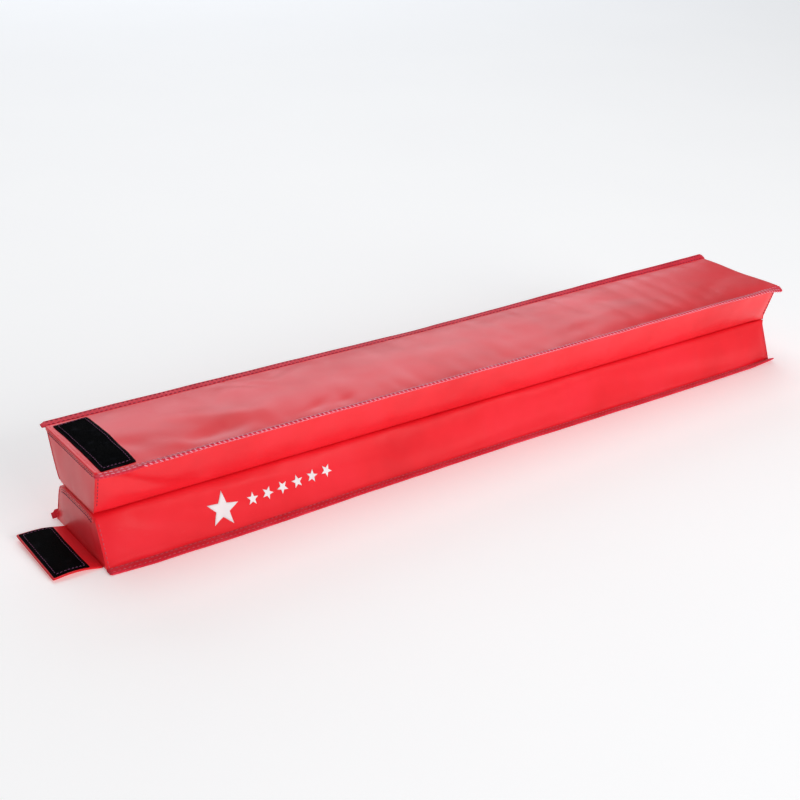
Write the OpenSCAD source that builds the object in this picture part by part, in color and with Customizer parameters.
// Folding floor balance beam, folded in half.
// Two foam sections in sewn covers lie walking face to walking face, joined by a strip at the +X end.
// The origin is the middle of the lower section's base. +X runs along the beam and +Z is up.

/* [Section] */
// Length of each foam section with its cover
section_length = 1067; // [600:1:1300]
// Height of each section, from its base to its walking face
section_height = 58.5; // [45:0.5:100]
// Width of the base, from seam to seam
base_width = 147; // [120:1:240]
// Width of the walking face before its edges are rounded
walking_width = 102; // [60:1:118]
// Radius of the long edges of the walking face
edge_radius = 6; // [3:0.5:12]
// Gap between the two walking faces when folded
fold_gap = 1; // [0.6:0.1:1.5]

/* [Cover] */
// Thickness of the vinyl cover
cover_thickness = 0.8; // [0.5:0.1:1.5]
// Space between the foam core and its cover
core_clearance = 0.2; // [0.1:0.1:1]

/* [Flange and binding] */
// Width of the sewn flange along each side of a base
flange_width = 13; // [8:0.5:25]
// Bare width of flange between the seam and the binding tape
tape_inset = 1.5; // [0.5:0.5:4]
// Thickness of the binding tape
tape_thickness = 0.6; // [0.4:0.1:1.2]
// Length of the folded tape tail past the open end
open_tail = 6; // [2:0.5:20]
// Space left between facing tape tails when the beam is unfolded
tail_clearance = 1; // [0.5:0.5:4]

/* [Hinge strip] */
// Distance from the end panels to the hinge axis
hinge_offset = 4; // [3:0.5:10]
// Length of the strip that is sewn into each walking face
hinge_margin = 20; // [10:1:60]
// Distance from the strip's side to the edge of the walking face
hinge_inset = 9; // [8:0.5:20]

/* [Loop strip] */
// Width of the loop strip along the beam
loop_width = 41; // [20:1:80]
// Thickness of the loop strip
loop_thickness = 2; // [1:0.1:4]
// Distance from the loop strip to the open end
loop_end_margin = 6; // [2:0.5:30]
// Distance from the loop strip to the base seams
loop_side_margin = 5.5; // [0:0.5:20]

/* [Flap] */
// Length of the flap past the open end
flap_length = 58; // [55:1:90]
// Distance from the flap's front side to the front base seam
flap_front_margin = 9.5; // [1:0.5:30]
// Distance from the flap's back side to the back base seam
flap_back_margin = 25.5; // [1:0.5:30]
// Width of the hook strip along the beam
hook_width = 41; // [20:1:44]
// Thickness of the hook strip
hook_thickness = 1.6; // [1:0.1:3]
// Distance from the hook strip to the flap's free edge
hook_end_margin = 2; // [1:0.5:5]
// Distance from the hook strip to the flap's sides
hook_side_margin = 2; // [1:0.5:20]
// Clearance that the flap swings with
swing_clearance = 0.4; // [0.3:0.1:2]

/* [Hidden] */

VINYL = "red";
TAPE = "firebrick";
FOAM = "whitesmoke";
STRIP = "black";
FRONT = -1;
BACK = 1;

arc_steps = 8;
end_x = section_length / 2;
top_z = 2 * section_height + fold_gap;
axis_z = top_z / 2;

// The side of a section, as a line from the seam to the edge of the walking face.
seam_y = base_width / 2;
walk_y = walking_width / 2;
side_rise = section_height - cover_thickness;
side_run = seam_y - walk_y;
side_lean = side_run / side_rise;
side_length = norm([side_run, side_rise]);
normal_y = side_rise / side_length;
normal_z = side_run / side_length;
edge_centre = [walk_y - edge_radius * (1 - normal_z) / normal_y, section_height - edge_radius];

// The flange, where the cover's layers step up by the tape's thickness to lie inside the tape.
tape_y = seam_y + tape_inset;
flange_y = seam_y + flange_width;
layer_y = flange_y - tape_thickness;
layers_z = tape_thickness + 2 * cover_thickness;
flange_z = layers_z + tape_thickness;
hinge_tail = hinge_offset - tail_clearance / 2;

// The hinge strip's bend, and where its straight legs end.
bend_radius = fold_gap / 2;
bend_length = PI * (bend_radius + cover_thickness / 2);
leg_x = end_x + hinge_offset - bend_length / 2;
strip_width = walking_width - 2 * hinge_inset;

// The flap's corners, and the height of the hook strip on its two layers.
flap_root_x = -end_x - swing_clearance;
flap_end_x = -end_x - flap_length;
flap_front_y = flap_front_margin - seam_y;
flap_back_y = seam_y - flap_back_margin;
hook_z = 2 * cover_thickness;

function arc(centre, radius, from, to) =
    [for (i = [0 : arc_steps])
        let (a = from + (to - from) * i / arc_steps)
        centre + radius * [cos(a), sin(a)]];

function reversed(points) = [for (i = [len(points) - 1 : -1 : 0]) points[i]];

// A whole outline from its +Y half, with the -Y half as its mirror image.
function both_halves(half) = concat(half, [for (p = reversed(half)) [-p[0], p[1]]]);

// Half the width at height z, a distance inside the cover's outer surface.
function side_y(inset, z) = seam_y - side_lean * (z - cover_thickness) - inset / normal_y;

// The rounded edge of the walking face, a distance inside the cover's outer surface.
function walking_edge(inset) = arc(edge_centre, edge_radius - inset, atan2(normal_z, normal_y), 90);

// Half the outline of what fits inside the cover.
function inner_half(inset) = concat([[side_y(inset, inset), inset]], walking_edge(inset));

// Half the line of a flange layer, from the seam outwards.
function layer_half(z) = [[seam_y, z], [tape_y, z + tape_thickness], [layer_y, z + tape_thickness]];

// Extrudes a Y-Z outline along X.
module along_x(from, to) {
    translate([from, 0, 0])
        rotate([90, 0, 90])
            linear_extrude(to - from)
                children();
}

// Extrudes an X-Z outline along Y, over a width about the middle.
module across_y(width) {
    translate([0, width / 2, 0])
        rotate([90, 0, 0])
            linear_extrude(width)
                children();
}

// A flat piece between two corners.
module slab(low, high) {
    translate(low)
        cube(high - low);
}

// Turns a section over, so that its walking face lies on the lower one's.
module turned_over() {
    translate([0, 0, top_z])
        mirror([0, 0, 1])
            children();
}

module core() {
    inset = cover_thickness + core_clearance;
    color(FOAM)
        along_x(inset - end_x, end_x - inset)
            polygon(both_halves(inner_half(inset)));
}

// Front side, walking face and back side in one piece, with a seam margin turned out on each side.
// The hinge strip takes the place of the walking face at the hinge end.
module wrap() {
    outside = concat(
        [[layer_y, layers_z], [tape_y, layers_z], [side_y(0, 2 * cover_thickness), 2 * cover_thickness]],
        walking_edge(0)
    );
    inside = concat(reversed(layer_half(cover_thickness)), inner_half(cover_thickness));
    color(VINYL)
        difference() {
            along_x(-end_x, end_x)
                polygon(concat(both_halves(outside), reversed(both_halves(inside))));
            slab(
                [end_x - hinge_margin, -strip_width / 2, section_height - 2 * cover_thickness],
                [end_x + cover_thickness, strip_width / 2, section_height + cover_thickness]
            );
        }
}

module base_panel() {
    color(VINYL)
        along_x(-end_x, end_x)
            polygon(both_halves(concat(layer_half(0), reversed(layer_half(cover_thickness)))));
}

// An end panel with its outer face at x_low or x_low + cover_thickness.
module end_panel(x_low) {
    color(VINYL)
        along_x(x_low, x_low + cover_thickness)
            polygon(both_halves(inner_half(cover_thickness)));
}

// Tape folded over a flange's edge, with its legs closed on each other at both tails.
module binding(side) {
    folded = [
        [tape_y, 0], [flange_y, 0], [flange_y, flange_z], [tape_y, flange_z],
        [tape_y, layers_z], [layer_y, layers_z], [layer_y, tape_thickness], [tape_y, tape_thickness]
    ];
    color(TAPE)
        mirror([0, side == FRONT ? 1 : 0, 0])
            union() {
                along_x(-end_x, end_x)
                    polygon(folded);
                slab([-end_x - open_tail, tape_y, 0], [-end_x, flange_y, flange_z]);
                slab([end_x, tape_y, 0], [end_x + hinge_tail, flange_y, flange_z]);
            }
}

// Runs from the lower walking face, around the hinge end, to the upper walking face.
module hinge_strip() {
    margin_x = end_x - hinge_margin;
    bend = [leg_x, axis_z];
    outside = bend_radius + cover_thickness;
    color(VINYL)
        across_y(strip_width)
            polygon(concat(
                [[margin_x, axis_z - outside]],
                arc(bend, outside, -90, 90),
                [[margin_x, axis_z + outside], [margin_x, axis_z + bend_radius]],
                arc(bend, bend_radius, 90, -90),
                [[margin_x, axis_z - bend_radius]]
            ));
}

module loop_strip() {
    strip_x = -end_x + loop_end_margin;
    strip_y = seam_y - loop_side_margin;
    color(STRIP)
        slab([strip_x, -strip_y, top_z], [strip_x + loop_width, strip_y, top_z + loop_thickness]);
}

// One layer of the flap, with its underside at height z.
module flap_layer(z) {
    color(VINYL)
        slab([flap_end_x, flap_front_y, z], [flap_root_x, flap_back_y, z + cover_thickness]);
}

module hook_strip() {
    strip_x = flap_end_x + hook_end_margin;
    color(STRIP)
        slab(
            [strip_x, flap_front_y + hook_side_margin, hook_z],
            [strip_x + hook_width, flap_back_y - hook_side_margin, hook_z + hook_thickness]
        );
}

core();  // lower_core
wrap();  // lower_wrap
base_panel();  // lower_base_panel
end_panel(-end_x);  // lower_open_end_panel
end_panel(end_x - cover_thickness);  // lower_hinge_end_panel
binding(FRONT);  // lower_front_binding
binding(BACK);  // lower_back_binding
turned_over() core();  // upper_core
turned_over() wrap();  // upper_wrap
turned_over() base_panel();  // upper_base_panel
turned_over() end_panel(-end_x);  // upper_open_end_panel
turned_over() end_panel(end_x - cover_thickness);  // upper_hinge_end_panel
turned_over() binding(FRONT);  // upper_front_binding
turned_over() binding(BACK);  // upper_back_binding
hinge_strip();
loop_strip();
flap_layer(0);  // flap_bottom_layer
flap_layer(cover_thickness);  // flap_top_layer
hook_strip();
